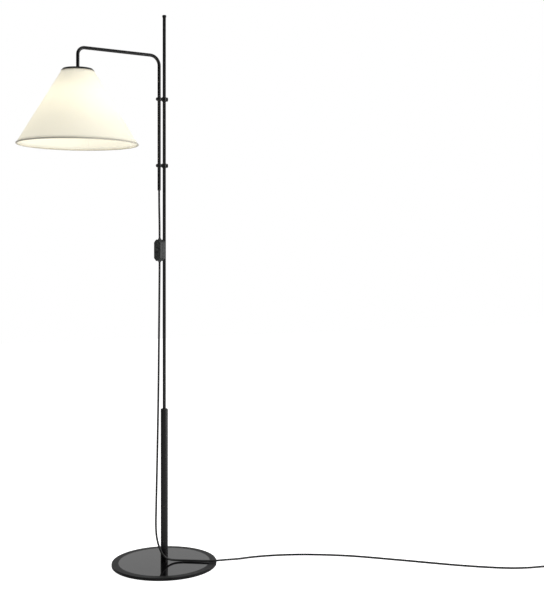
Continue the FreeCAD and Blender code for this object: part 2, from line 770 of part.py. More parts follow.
def plug_body():
    """The flat moulded plug, wide at its face and tapering to the rear."""
    w, r, t = PLUG_W / 2, PLUG_REAR_W / 2, PLUG_T / 2
    outline = [(0, -r), (0, r), (12, w), (PLUG_LENGTH, w), (PLUG_LENGTH, -w), (12, -w)]
    points = [V(x, y, -t) for x, y in outline]
    body = Part.Face(Part.makePolygon(points + points[:1])).extrude(V(0, 0, PLUG_T))
    front = [e for e in body.Edges if min(v.X for v in e.Vertexes) > PLUG_LENGTH - 0.1]
    rest = [e for e in body.Edges if not any(e.isSame(f) for f in front)]
    body = body.makeFillet(2.0, rest)
    for side in (-1, 1):
        at = V(PLUG_LENGTH - PIN_IN, side * PIN_SPACING / 2, 0)
        body = body.cut(Part.makeCylinder(PIN_ROOT_R, PIN_IN + 1, at, ALONG_X))
    return on_plug_axis(body)


def plug_pins():
    pins = []
    for side in (-1, 1):
        face = V(PLUG_LENGTH, side * PIN_SPACING / 2, 0)
        root = Part.makeCylinder(PIN_ROOT_R, PIN_IN, face - V(PIN_IN, 0, 0), ALONG_X)
        prong = Part.makeCylinder(PIN_R, PIN_OUT, face, ALONG_X)
        pins.append(prong.makeFillet(0.8, [prong.Edges[0]]).fuse(root).removeSplitter())
    return on_plug_axis(Part.makeCompound(pins))


def plug_strain_relief():
    cone = Part.makeCone(RELIEF_TIP_R, RELIEF_ROOT_R, RELIEF_LENGTH, V(-RELIEF_LENGTH, 0, 0), ALONG_X)
    return on_plug_axis(cone)


# ---- writing the sub-parts ------------------------------------------------------------------------


def hang_point(z):
    """A point of the hanging stretch at a height, on one of its two straight runs."""
    upper, lower = (HANG_FROM, HANG_BOW) if z > HANG_BOW[2] else (HANG_BOW, HANG_TO)
    share = (upper[2] - z) / (upper[2] - lower[2])
    return tuple(a + (b - a) * share for a, b in zip(upper, lower))


def swung_parts():
    """The arm and the head, built over the X axis and then turned about the riser."""
    parts = {
        "arm_tube": arm_tube(),
        "arm_cable": arm_cable(),
        "drop_collar": drop_collar(),
        "shade_cap": shade_cap(),
        "swivel_bush": swivel_bush(),
        "holder_spacer": holder_spacer(),
        "holder_screws": holder_screws(),
        "lampholder_top": lampholder_top(),
        "lampholder_skirt": lampholder_skirt(),
        "holder_thread_shell": holder_thread_shell(),
        "holder_insulator": holder_insulator(),
        "centre_contact": centre_contact(),
        "shade_ring_nut": shade_ring_nut(),
        "shade_top_frame": shade_top_frame(),
        "shade_fabric": shade_fabric(),
        "shade_top_trim": shade_top_trim(),
        "shade_bottom_ring": shade_bottom_ring(),
        "shade_hem": shade_hem(),
        "bulb_globe": bulb_globe(),
        "bulb_cap": bulb_cap(),
    }
    for shape in parts.values():
        shape.rotate(V(ARM_X, 0, 0), UP, ARM_SWING)
    return parts


def all_parts():
    parts = {
        "foot_pad": foot_pad(),
        "base_disc": base_disc(),
        "base_cover_plate": base_cover_plate(),
        "base_washer": base_washer(),
        "base_bolt": base_bolt(),
        "stem_tube": stem_tube(),
        "stem_foot_insert": stem_foot_insert(),
        "stem_collar": stem_collar(),
        "pole_rod": pole_rod(),
        "pole_lower_guide": pole_lower_guide(),
        "pole_cap": pole_cap(),
        "arm_lock_screws": arm_lock_screws(),
        "arm_ferrule": arm_ferrule(),
        "switch_rocker": switch_rocker(),
        "switch_screws": switch_screws(),
        "switch_terminals": switch_terminals(),
        "cord_coil": cord_coil(),
        "coil_tie": coil_tie(),
        "plug_body": plug_body(),
        "plug_pins": plug_pins(),
        "plug_strain_relief": plug_strain_relief(),
    }
    parts.update(swung_parts())
    for name, z in CLIP_HEIGHTS.items():
        parts[f"pole_sleeve_{name}"] = pole_sleeve(z)
        parts[f"clip_{name}"] = clip(z)
        parts[f"thumb_screw_{name}"] = thumb_screw(z)
    parts["switch_front_shell"], parts["switch_back_shell"] = switch_shells()
    routes = {
        "cord_top": TOP_ROUTE,
        "cord_hang_upper": [IN_SWITCH, HANG_FROM, hang_point(600)],
        "cord_hang_lower": [hang_point(600), HANG_BOW, hang_point(125)],
        "cord_floor": [hang_point(125)] + FLOOR_ROUTE,
        "cord_tail": tail_route(),
    }
    for name, points in routes.items():
        parts[name] = cord_tube(name, points)
    return parts


os.makedirs("parts", exist_ok=True)
for name, shape in all_parts().items():
    shape.exportStep(f"parts/{name}.step")
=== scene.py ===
"""Pharmacy floor lamp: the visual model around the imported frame.

Metres, +Z up, in the frame's own axes: the pole stands on Z and the arm reaches towards -X.
"""

import math

import bpy
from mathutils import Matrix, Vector


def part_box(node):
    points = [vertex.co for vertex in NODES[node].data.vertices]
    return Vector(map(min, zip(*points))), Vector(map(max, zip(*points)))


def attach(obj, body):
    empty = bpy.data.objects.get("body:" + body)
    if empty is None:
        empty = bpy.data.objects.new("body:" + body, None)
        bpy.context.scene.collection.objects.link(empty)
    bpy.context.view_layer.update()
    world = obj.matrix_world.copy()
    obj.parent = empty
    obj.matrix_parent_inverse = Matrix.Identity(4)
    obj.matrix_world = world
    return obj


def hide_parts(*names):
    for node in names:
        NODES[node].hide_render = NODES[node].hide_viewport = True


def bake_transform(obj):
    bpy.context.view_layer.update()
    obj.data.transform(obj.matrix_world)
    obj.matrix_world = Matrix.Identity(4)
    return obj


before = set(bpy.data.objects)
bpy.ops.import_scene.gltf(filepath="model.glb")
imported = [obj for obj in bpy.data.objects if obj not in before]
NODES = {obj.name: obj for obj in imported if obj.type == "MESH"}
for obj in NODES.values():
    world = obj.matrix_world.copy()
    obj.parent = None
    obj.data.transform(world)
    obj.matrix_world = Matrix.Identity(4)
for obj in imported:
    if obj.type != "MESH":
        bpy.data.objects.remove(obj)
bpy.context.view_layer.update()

# ---- camera, floor and light ---------------------------------------------------------------------

EYE = Vector((-0.7486, -2.3645, 0.774))
LOOK = Vector((0.4019, 0.9157, 0.0)).normalized()
RIGHT = Vector((LOOK.y, -LOOK.x, 0.0))
UP = Vector((0.0, 0.0, 1.0))
LENS, SHIFT_Y = 60.2, -0.084

MIDDLE = Vector((0.0, 0.0, 0.75))  # the point that the lights face
SOFTBOXES = {  # name: (place, (width, height), watts)
    "light_right": (MIDDLE + RIGHT * 1.8 - LOOK * 0.5, (1.1, 2.2), 27),
    "light_top": (MIDDLE + UP * 2.4 - LOOK * 0.8, (2.4, 2.4), 30),
}
WHITE = (1.0, 1.0, 1.0, 1.0)
FADE_FACING = (-0.3, 0.9)  # the studio's light fades between these cosines with LOOK
FADE_STRENGTH = (0.05, 0.72)
FLOOR_HALF = 6.0
FLOOR_COLOUR, FLOOR_ROUGHNESS = (0.8, 0.8, 0.8, 1.0), 0.9
FLOOR_GLOW = (0.25, 1.0)  # towards the lamp, and towards the camera


def add(name, data):
    """A new object in the scene."""
    made = bpy.data.objects.new(name, data)
    bpy.context.scene.collection.objects.link(made)
    return made


def add_facing(name, data, place, direction):
    """A new camera or light at a place, facing along a direction."""
    made = add(name, data)
    made.location = place
    made.rotation_mode = "QUATERNION"
    made.rotation_quaternion = direction.to_track_quat("-Z", "Y")
    return made


def mesh_of(name, vertices, faces):
    """A smooth-shaded mesh."""
    mesh = bpy.data.meshes.new(name)
    mesh.from_pydata([tuple(v) for v in vertices], [], faces)
    mesh.shade_smooth()
    return mesh


def carried(tree, value, source, target):
    """Carries a value from the source range to the target range."""
    node = tree.nodes.new("ShaderNodeMapRange")
    tree.links.new(value, node.inputs["Value"])
    for socket, number in zip(("From Min", "From Max", "To Min", "To Max"), (*source, *target)):
        node.inputs[socket].default_value = number
    return node.outputs["Result"]


def make_camera():
    data = bpy.data.cameras.new("camera")
    data.lens = LENS
    data.shift_y = SHIFT_Y
    bpy.context.scene.camera = add_facing("camera", data, EYE, LOOK)


def make_lights():
    """Rectangular studio lights that the camera doesn't see."""
    for name, (place, size, watts) in SOFTBOXES.items():
        data = bpy.data.lights.new(name, "AREA")
        data.shape = "RECTANGLE"
        data.size, data.size_y = size
        data.energy = watts
        add_facing(name, data, place, MIDDLE - place).visible_camera = False


def make_world():
    """A white backdrop, with the studio's light fading from behind the lamp to the camera's side."""
    world = bpy.data.worlds.new("studio")
    bpy.context.scene.world = world
    world.use_nodes = True
    tree = world.node_tree
    tree.nodes.clear()
    direction = tree.nodes.new("ShaderNodeTexCoord")
    facing = tree.nodes.new("ShaderNodeVectorMath")
    facing.operation = "DOT_PRODUCT"
    facing.inputs[1].default_value = LOOK
    tree.links.new(direction.outputs["Generated"], facing.inputs[0])
    studio = tree.nodes.new("ShaderNodeBackground")
    backdrop = tree.nodes.new("ShaderNodeBackground")
    for background in (studio, backdrop):
        background.inputs["Color"].default_value = WHITE
    strength = carried(tree, facing.outputs["Value"], FADE_FACING, FADE_STRENGTH)
    tree.links.new(strength, studio.inputs["Strength"])
    seen = tree.nodes.new("ShaderNodeLightPath")
    mix = tree.nodes.new("ShaderNodeMixShader")
    out = tree.nodes.new("ShaderNodeOutputWorld")
    tree.links.new(seen.outputs["Is Camera Ray"], mix.inputs[0])
    tree.links.new(studio.outputs[0], mix.inputs[1])
    tree.links.new(backdrop.outputs[0], mix.inputs[2])
    tree.links.new(mix.outputs[0], out.inputs["Surface"])


def make_floor():
    """A pale floor that the camera sees as white as the backdrop."""
    corners = [(x * FLOOR_HALF, y * FLOOR_HALF, 0) for x, y in ((-1, -1), (1, -1), (1, 1), (-1, 1))]
    floor = add("floor", mesh_of("floor", corners, [(0, 1, 2, 3)]))
    pale = bpy.data.materials.new("pale_floor")
    pale.use_nodes = True
    tree = pale.node_tree
    shader = tree.nodes["Principled BSDF"]
    shader.inputs["Base Color"].default_value = FLOOR_COLOUR
    shader.inputs["Roughness"].default_value = FLOOR_ROUGHNESS
    shader.inputs["Emission Color"].default_value = WHITE
    seen = tree.nodes.new("ShaderNodeLightPath").outputs["Is Camera Ray"]
    tree.links.new(carried(tree, seen, (0.0, 1.0), FLOOR_GLOW), shader.inputs["Emission Strength"])
    floor.data.materials.append(pale)


bpy.context.scene.view_settings.view_transform = "Standard"
make_camera()
make_world()
make_lights()
make_floor()

# ---- materials -----------------------------------------------------------------------------------


class Finish:
    """A material under construction: its node tree and its shader."""

    def __init__(self, name, sockets=None):
        self.material = bpy.data.materials.new(name)
        self.material.use_nodes = True
        self.tree = self.material.node_tree
        self.shader = self.tree.nodes["Principled BSDF"]
        for socket, value in (sockets or {}).items():
            self.set(socket, value)

    def node(self, kind, **settings):
        made = self.tree.nodes.new(kind)
        for key, value in settings.items():
            setattr(made, key, value)
        return made

    def link(self, source, target):
        self.tree.links.new(source, target)

    def set(self, socket, value):
        """Sets a number, or a colour without its alpha, on the shader."""
        if isinstance(value, tuple):
            value = (*value, 1.0)
        self.shader.inputs[socket].default_value = value

    def cloud(self, place, scale, detail=2.0):
        """The outputs of a noise texture that is read at a place."""
        made = self.node("ShaderNodeTexNoise")
        self.link(place, made.inputs["Vector"])
        made.inputs["Scale"].default_value = scale
        made.inputs["Detail"].default_value = detail
        return made.outputs

    def noise(self, size, detail=3.0):
        """A cloudy pattern whose patches are about size metres across."""
        place = self.node("ShaderNodeTexCoord").outputs["Object"]
        return self.cloud(place, 1.0 / size, detail)["Fac"]

    def maths(self, operation, *operands, kind="ShaderNodeMath"):
        """The result of an operation whose operands are sockets or constants."""
        made = self.node(kind, operation=operation)
        for socket, operand in zip(made.inputs, operands):
            if isinstance(operand, bpy.types.NodeSocket):
                self.link(operand, socket)
            else:
                socket.default_value = operand
        return made.outputs[0]

    def vector_maths(self, operation, *operands):
        return self.maths(operation, *operands, kind="ShaderNodeVectorMath")

    def tones(self, value, dark, light, start, end):
        """A colour from dark to light as a value goes from start to end."""
        ramp = self.node("ShaderNodeValToRGB")
        self.link(value, ramp.inputs["Fac"])
        for stop, position, colour in zip(ramp.color_ramp.elements, (start, end), (dark, light)):
            stop.position, stop.color = position, (*colour, 1.0)
        return ramp.outputs["Color"]

    def bump(self, height, distance, strength=1.0):
        """Relief of about that distance in metres where height goes from 0 to 1."""
        relief = self.node("ShaderNodeBump")
        relief.inputs["Distance"].default_value = distance
        relief.inputs["Strength"].default_value = strength
        self.link(height, relief.inputs["Height"])
        self.link(relief.outputs["Normal"], self.shader.inputs["Normal"])


# name: (colour, roughness range, grain size, relief depth), the last two in metres
HARD = {
    "pad_foam": ((0.03, 0.03, 0.03), (0.8, 0.95), 0.0006, 0.0004),
    "base_satin": ((0.01, 0.01, 0.0104), (0.4, 0.52), 0.0012, 0.00002),
    "base_gloss": ((0.006, 0.006, 0.0065), (0.06, 0.09), 0.004, 0.000002),
    "black_lacquer": ((0.003, 0.003, 0.0033), (0.24, 0.3), 0.003, 0.000002),
    "cap_lacquer": ((0.003, 0.003, 0.0032), (0.45, 0.55), 0.002, 0.000004),
    "black_casting": ((0.004, 0.004, 0.0042), (0.28, 0.4), 0.0008, 0.00001),
    "black_steel": ((0.01, 0.01, 0.011), (0.3, 0.45), 0.0004, 0.00002),
    "plated_steel": ((0.55, 0.55, 0.56), (0.22, 0.38), 0.0004, 0.00001),
    "brass": ((0.63, 0.44, 0.18), (0.2, 0.36), 0.0004, 0.00001),
    "black_nylon": ((0.012, 0.012, 0.012), (0.4, 0.55), 0.0005, 0.00002),
    "holder_plastic": ((0.014, 0.013, 0.013), (0.3, 0.42), 0.0008, 0.00002),
    "ceramic": ((0.72, 0.7, 0.66), (0.25, 0.4), 0.001, 0.00002),
    "white_wire": ((0.78, 0.77, 0.73), (0.35, 0.5), 0.0008, 0.00004),
    "bulb_cap_metal": ((0.6, 0.6, 0.61), (0.25, 0.4), 0.0006, 0.00002),
    "switch_plastic": ((0.021, 0.0235, 0.0235), (0.4, 0.52), 0.0005, 0.00003),
    "rocker_plastic": ((0.02, 0.021, 0.021), (0.2, 0.28), 0.0008, 0.000005),
    "tie_plastic": ((0.02, 0.02, 0.02), (0.35, 0.5), 0.0006, 0.00003),
    "plug_plastic": ((0.014, 0.014, 0.014), (0.42, 0.56), 0.0005, 0.00004),
    "pin_metal": ((0.6, 0.6, 0.58), (0.18, 0.3), 0.0005, 0.00001),
    "cord_pvc": ((0.013, 0.013, 0.013), (0.4, 0.52), 0.001, 0.00001),
}
# Sockets that only some hard finishes set.
EXTRA = {
    "base_satin": {"Specular IOR Level": 0.12},
    "black_lacquer": {"Specular IOR Level": 0.35},
    "cap_lacquer": {"Specular IOR Level": 0.12},
    "black_casting": {"Specular IOR Level": 0.4},
    "cord_pvc": {"Specular IOR Level": 0.4},
    "plated_steel": {"Metallic": 1.0},
    "brass": {"Metallic": 1.0},
    "bulb_cap_metal": {"Metallic": 1.0},
    "pin_metal": {"Metallic": 1.0},
}
DRIFT_GRAINS = 12  # a patch of tone is this many grains across
DRIFT = 0.25  # how far a patch goes from the colour, to dark or to light
NOISE_SPAN = (0.3, 0.7)  # most of a noise texture's values lie in this range


def scaled(colour, factor):
    return tuple(min(1.0, channel * factor) for channel in colour)


def hard_finish(name, colour, rough, grain_size, relief):
    """A hard surface: its tone drifts in large patches, and its gloss and relief in fine grain."""
    finish = Finish(name, EXTRA.get(name))
    drift = finish.noise(grain_size * DRIFT_GRAINS)
    grain = finish.noise(grain_size, detail=4.0)
    tone = finish.tones(drift, scaled(colour, 1 - DRIFT), scaled(colour, 1 + DRIFT), *NOISE_SPAN)
    finish.link(tone, finish.shader.inputs["Base Color"])
    gloss = carried(finish.tree, grain, NOISE_SPAN, rough)
    finish.link(gloss, finish.shader.inputs["Roughness"])
    finish.bump(grain, relief)
    return finish.material


def bulb_finish():
    """Opal glass, lit evenly from within."""
    finish = Finish("bulb_glass", {"Base Color": (0.95, 0.93, 0.88), "Roughness": 0.22})
    finish.set("Emission Color", (1.0, 0.965, 0.9))
    finish.set("Emission Strength", 6.0)
    frost_size, frost_relief = 0.002, 0.00005
    finish.bump(finish.noise(frost_size), frost_relief)
    return finish.material


THREAD = 0.0006  # the shade cloth's thread pitch
STRAY, STRAYS_PER_METRE = THREAD * 1.5, 90.0  # how far a thread strays from its line, and how often
WEAVE_RELIEF, WEAVE_STRENGTH = 0.00008, 0.6
WEAVE_TONE = 0.35  # the weave's part in the cloth's tone, beside the slubs' 1
SLUBS_PER_METRE = (120.0, 1400.0, 1.0)  # along the flat cloth's x and y: a slub is long and thin
CLOTH_SPAN = (0.2, 0.9)  # the mixed weave and slubs that carry the cloth from dark to light


def woven(finish, flat):
    """Height of a plain weave, from 0 to 1, read from the cloth's flat-cut place in metres."""
    stray = finish.cloud(flat, STRAYS_PER_METRE)["Color"]
    place = finish.vector_maths("MULTIPLY_ADD", stray, (STRAY,) * 3, flat)
    parts = finish.node("ShaderNodeSeparateXYZ")
    finish.link(place, parts.inputs[0])
    waves = []
    for axis in ("X", "Y"):
        turns = finish.maths("MULTIPLY", parts.outputs[axis], math.pi / THREAD)
        waves.append(finish.maths("SINE", turns))
    crossing = finish.maths("MULTIPLY", *waves)
    return finish.maths("MULTIPLY_ADD", crossing, 0.5, 0.5)


def cloth_finish(name, dark, light):
    """Woven cloth whose tone follows its weave and its slubs."""
    finish = Finish(name, {"Roughness": 0.85, "Sheen Weight": 0.15})
    flat = finish.node("ShaderNodeUVMap", uv_map="flat_cut").outputs["UV"]
    height = woven(finish, flat)
    slubs = finish.cloud(finish.vector_maths("MULTIPLY", flat, SLUBS_PER_METRE), 1.0)["Fac"]
    mixed = finish.maths("ADD", finish.maths("MULTIPLY", height, WEAVE_TONE), slubs)
    colour = finish.tones(mixed, dark, light, *CLOTH_SPAN)
    finish.link(colour, finish.shader.inputs["Base Color"])
    finish.bump(height, WEAVE_RELIEF, WEAVE_STRENGTH)
    return finish


def shade_cloth_finish():
    """Cream cloth with a painted glow, an even emission that stands in for the bulb's light scattered
    in the cloth, and a translucent part that lets some of the bulb's light through.
    """
    finish = cloth_finish("shade_cloth", (0.84, 0.82, 0.72), (0.93, 0.915, 0.83))
    # Painted glow: an even emission that stands in for the bulb's light the cloth scatters.
    finish.set("Emission Color", (1.0, 0.98, 0.92))
    finish.set("Emission Strength", 0.24)
    behind = finish.node("ShaderNodeBsdfTranslucent")
    behind.inputs["Color"].default_value = (1.0, 0.972, 0.88, 1.0)
    mix = finish.node("ShaderNodeMixShader")
    mix.inputs[0].default_value = 0.46
    finish.link(finish.shader.outputs[0], mix.inputs[1])
    finish.link(behind.outputs[0], mix.inputs[2])
    finish.link(mix.outputs[0], finish.tree.nodes["Material Output"].inputs["Surface"])
    return finish.material


def painted_shade_hem_finish():
    # Painted shade: the rolled hem's cloth is far darker than the shade's own cloth. This stands in for
    # the shade of the rolled double layer, which the bulb's light doesn't shine through.
    return cloth_finish("shade_hem_cloth", (0.5, 0.47, 0.4), (0.62, 0.59, 0.5)).material


def painted_shade_tape_finish():
    # Painted shade: the top tape is a real part, but its tone is darker than the shade's cloth. The
    # darker tone stands in for the shade under the cap.
    return cloth_finish("shade_tape", (0.62, 0.57, 0.46), (0.74, 0.7, 0.58)).material


FINISHES = {name: hard_finish(name, *values) for name, values in HARD.items()}
FINISHES["bulb_glass"] = bulb_finish()
FINISHES["shade_cloth"] = shade_cloth_finish()
FINISHES["shade_hem_cloth"] = painted_shade_hem_finish()
FINISHES["shade_tape"] = painted_shade_tape_finish()

# A node has the finish of the first rule whose words its name holds. The nodes that no rule
# names are the ones that the cords and the shade's pieces replace.
NODE_FINISH = [
    ("foot_pad", "pad_foam"),
    ("base_disc", "base_satin"),
    ("base_cover_plate", "base_gloss"),
    ("base_washer", "plated_steel"),
    ("base_bolt", "plated_steel"),
    ("stem_foot_insert", "black_steel"),
    ("arm_lock_screws", "black_steel"),
    ("arm_cable", "cord_pvc"),
    ("arm_ferrule", "black_nylon"),
    ("pole_sleeve", "black_nylon"),
    ("pole_lower_guide", "black_nylon"),
    ("swivel_bush", "black_nylon"),
    ("drop_collar", "brass"),
    ("stem_", "black_lacquer"),
    ("pole_rod", "black_lacquer"),
    ("arm_tube", "black_lacquer"),
    ("shade_cap", "cap_lacquer"),
    ("pole_cap", "black_casting"),
    ("clip_", "black_casting"),
    ("thumb_screw", "black_casting"),
    ("holder_spacer", "holder_plastic"),
    ("holder_screws", "plated_steel"),
    ("holder_thread_shell", "brass"),
    ("holder_insulator", "ceramic"),
    ("centre_contact", "brass"),
    ("lampholder", "holder_plastic"),
    ("shade_ring_nut", "holder_plastic"),
    ("shade_top_frame", "white_wire"),
    ("shade_bottom_ring", "white_wire"),
    ("bulb_globe", "bulb_glass"),
    ("bulb_cap", "bulb_cap_metal"),
    ("switch_rocker", "rocker_plastic"),
    ("switch_screws", "plated_steel"),
    ("switch_terminals", "brass"),
    ("switch_", "switch_plastic"),
    ("coil_tie", "tie_plastic"),
    ("plug_pins", "pin_metal"),
    ("plug_", "plug_plastic"),
]


def paint_nodes():
    for name, node in NODES.items():
        slots = [slot for words, slot in NODE_FINISH if words in name]
        if slots:
            node.data.materials.clear()
            node.data.materials.append(FINISHES[slots[0]])


paint_nodes()

# ---- the cord ------------------------------------------------------------------------------------

CORD_D = 0.005
TOP_ROUTE = [
    (-0.0131, 0, 0.919),
    (-0.0131, 0, 0.885),
    (-0.01335, -0.0045, 0.835),
    (-0.01335, -0.0045, 0.795),
]
IN_SWITCH = (-0.01335, -0.0045, 0.7525)
HANG_FROM = (-0.01335, -0.0045, 0.725)
HANG_BOW = (-0.017, -0.00565, 0.39)
HANG_TO = (-0.0232, -0.0053, 0.104)
FLOOR_ROUTE = [
    (-0.0224, -0.0068, 0.074),
    (-0.017, -0.0108, 0.048),
    (-0.008, -0.0148, 0.027),
    (0.0074, -0.0131, 0.015),
    (0.0286, -0.0131, 0.0107),
    (0.0597, -0.0289, 0.01065),
    (0.0993, -0.0528, 0.0109),
    (0.121, -0.0585, 0.0117),
    (0.142, -0.0515, 0.0088),
    (0.1763, -0.042, 0.0036),
    (0.2137, -0.0381, 0.0026),
    (0.2489, -0.0426, 0.0026),
    (0.2828, -0.0499, 0.0026),
    (0.3374, -0.0673, 0.0026),
    (0.4, -0.099, 0.0026),
    (0.456, -0.1345, 0.0026),
    (0.507, -0.177, 0.0026),
    (0.5585, -0.2205, 0.0026),
    (0.606, -0.2618, 0.0026),
    (0.6535, -0.302, 0.0026),
    (0.704, -0.3395, 0.0026),
    (0.757, -0.3725, 0.0026),
    (0.8, -0.387, 0.0026),
    (0.84, -0.3938, 0.0028),
    (0.87, -0.397, 0.0035),
]
HANG_SPLIT, FLOOR_SPLIT = 0.6, 0.125  # heights where the hanging cord is cut into its pieces

LEAD_ANGLE = math.radians(-6.0)  # the cord's heading where it enters the coil
COIL_R, COIL_TURNS, TURN_POINTS = 0.0275, 3, 18
# Each change in the coil as (start, length), in degrees of turning.
INWARDS, CLIMB, OVER, LEAVE = (270, 100), (600, 120), (720, 110), (980, 80)
LOW_Z, CLIMB_Z, GROOVE_Z, OVER_HUMP = 0.0035, 0.0081, 0.0079, 0.0005
TAIL_RUN, TAIL_TOP, PLUG_Z = 0.043, 0.0086, 0.00685

SPLINE_STEPS = 10  # points read from the spline for each of its control points
TUBE_SIDES = 16
CORD_STEP, FLOOR_STEP = 0.004, 0.0025  # between the rings of a tube, and closer in the coil


def hang_point(height):
    """The hanging cord's place at a height, on its straight runs."""
    upper, lower = (HANG_FROM, HANG_BOW) if height > HANG_BOW[2] else (HANG_BOW, HANG_TO)
    share = (upper[2] - height) / (upper[2] - lower[2])
    return tuple(a + (b - a) * share for a, b in zip(upper, lower))


def eased(turned, change):
    """How much of a change is done, from 0 to 1, after turning by an angle in degrees."""
    start, length = change
    share = min(1.0, max(0.0, (turned - start) / length))
    return share * share * (3 - 2 * share)


def coil_place(turned):
    """(radius, height) of the cord's centre after an angle of turning, in degrees.

    The first turn lies outside and the second inside it. The end of the second climbs inwards,
    and the third lies in the groove between the two.
    """
    outer, inner = COIL_R + CORD_D / 2, COIL_R - CORD_D / 2
    radius, height = outer + (inner - outer) * eased(turned, INWARDS), LOW_Z
    climb = eased(turned, CLIMB)
    radius += (COIL_R - CORD_D - inner) * climb
    height += (CLIMB_Z - LOW_Z) * climb
    over = eased(turned, OVER)
    radius += (COIL_R - radius) * over
    height += OVER_HUMP * math.sin(math.pi * over) + (GROOVE_Z - height) * over
    height += (TAIL_TOP - height) * eased(turned, LEAVE)
    return radius, height


def coil_points():
    """The coil's turns, to the right, and the tail that leaves them on top."""
    ahead = Vector((math.cos(LEAD_ANGLE), math.sin(LEAD_ANGLE), 0))
    side = Vector((-ahead.y, ahead.x, 0))
    entry = Vector(FLOOR_ROUTE[-1])
    centre = entry - side * (COIL_R + CORD_D / 2)
    centre.z = 0
    step = 360 / TURN_POINTS
    swell = 1 / (0.75 + 0.25 * math.cos(math.radians(step)))  # a spline runs inside its points
    points = []
    for i in range(1, COIL_TURNS * TURN_POINTS):
        radius, height = coil_place(i * step)
        angle = math.radians(-i * step)
        out = side * math.cos(angle) - ahead * math.sin(angle)
        points.append(centre + out * radius * swell + UP * height)
    start = centre + side * COIL_R + UP * TAIL_TOP
    end = start + ahead * TAIL_RUN
    end.z = PLUG_Z
    return [tuple(p) for p in points + [start, start + ahead * TAIL_RUN / 2, end]]


def spline_of(name, points):
    """An open NURBS curve with these control points."""
    data = bpy.data.curves.new(name, "CURVE")
    data.dimensions = "3D"
    data.resolution_u = SPLINE_STEPS
    spline = data.splines.new("NURBS")
    spline.points.add(len(points) - 1)
    for knot, place in zip(spline.points, points):
        knot.co = (*place, 1.0)
    spline.order_u = 3
    spline.use_endpoint_u = True
    return data


def line_of(points):
    """The smooth line of a spline, as points close together."""
    curve = add("route", spline_of("route", points))
    mesh = bpy.data.meshes.new_from_object(curve)
    line = [v.co.copy() for v in mesh.vertices]
    bpy.data.objects.remove(curve)
    bpy.data.meshes.remove(mesh)
    return line


def split_at(line, height):
    """The line before and after it first falls below a height, which both then end on."""
    for i, (a, b) in enumerate(zip(line, line[1:])):
        if b.z < height <= a.z:
            middle = a.lerp(b, (a.z - height) / (a.z - b.z))
            return line[: i + 1] + [middle], [middle] + line[i + 1 :]
    raise ValueError("the line doesn't cross that height")


def length_of(line):
    return sum((b - a).length for a, b in zip(line, line[1:]))


def evened(line, step):
    """Points along a line, about a step apart."""
    total = length_of(line)
    count = max(2, round(total / step))
    points, walked, i = [line[0]], 0.0, 0
    for k in range(1, count):
        target = total * k / count
        while walked + (line[i + 1] - line[i]).length < target:
            walked += (line[i + 1] - line[i]).length
            i += 1
        run = (line[i + 1] - line[i]).length
        points.append(line[i].lerp(line[i + 1], (target - walked) / run))
    return points + [line[-1]]


def full_turn(count):
    """Even angles round a full turn."""
    return [2 * math.pi * i / count for i in range(count)]


def tube_mesh(name, line, radius):
    """A round tube along a line, closed at both ends, that doesn't twist."""
    vertices, across = [], Vector((0.0, 1.0, 0.0))
    for i, point in enumerate(line):
        ahead = (line[min(i + 1, len(line) - 1)] - line[max(i - 1, 0)]).normalized()
        across = (across - ahead * across.dot(ahead)).normalized()
        other = ahead.cross(across)
        for angle in full_turn(TUBE_SIDES):
            vertices.append(point + (across * math.cos(angle) + other * math.sin(angle)) * radius)
    faces = []
    for ring in range(0, len(vertices) - TUBE_SIDES, TUBE_SIDES):
        for k in range(TUBE_SIDES):
            a, b = ring + k, ring + (k + 1) % TUBE_SIDES
            faces.append((a, b, b + TUBE_SIDES, a + TUBE_SIDES))
    faces.append(tuple(reversed(range(TUBE_SIDES))))
    faces.append(tuple(range(len(vertices) - TUBE_SIDES, len(vertices))))
    return mesh_of(name, vertices, faces)


def cord_piece(name, line, step=CORD_STEP):
    """A length of cord along a line, and the points that its tube follows."""
    line = evened(line, step)
    piece = add(name, tube_mesh(name, line, CORD_D / 2))
    piece.data.materials.append(FINISHES["cord_pvc"])
    return piece, line


def make_cord_top():
    """From the arm's foot to the switch."""
    top, path = cord_piece("mains_cord_top", line_of(TOP_ROUTE))
    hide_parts("cord_top")
    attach(top, "arm")


def make_cord_below():
    """From the switch down to the base, along the floor, and round the coil to the plug."""
    bow = [hang_point(HANG_SPLIT), HANG_BOW, hang_point(FLOOR_SPLIT)]
    whole = line_of([IN_SWITCH, HANG_FROM, *bow, HANG_TO, *FLOOR_ROUTE, *coil_points()])
    upper, rest = split_at(whole, HANG_SPLIT)
    lower, floor = split_at(rest, FLOOR_SPLIT)

    hang_upper, path = cord_piece("mains_cord_hang_upper", upper)
    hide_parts("cord_hang_upper")
    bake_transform(hang_upper)

    hang_lower, path = cord_piece("mains_cord_hang_lower", lower)
    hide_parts("cord_hang_lower")
    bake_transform(hang_lower)

    run, path = cord_piece("mains_cord_floor", floor, FLOOR_STEP)
    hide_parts("cord_floor", "cord_coil", "cord_tail")
    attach(run, "stand")


make_cord_top()
make_cord_below()

# ---- shade ---------------------------------------------------------------------------------------

FABRIC_T, TAPE_T = 0.001, 0.0004  # thicknesses of the cloth and of the tape at its top
HEM_R = 0.0019  # of the hem's round section
HEM_LOW, HEM_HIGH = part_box("shade_hem")
TAPE_LOW, TAPE_HIGH = (corner.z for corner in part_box("shade_top_trim"))
AXIS = Vector(((HEM_LOW.x + HEM_HIGH.x) / 2, (HEM_LOW.y + HEM_HIGH.y) / 2, 0))
RIM_R = (HEM_HIGH.x - HEM_LOW.x) / 2 - HEM_R
RIM_Z = (HEM_LOW.z + HEM_HIGH.z) / 2
TOP_R = 0.037  # the cone's radius at the cloth's upper edge
TOP_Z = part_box("shade_fabric")[1].z
FALL, SPREAD = TOP_Z - RIM_Z, RIM_R - TOP_R
SLANT = math.hypot(FALL, SPREAD)
SIN_HALF = SPREAD / SLANT  # the flat sector opens by this share of a full turn

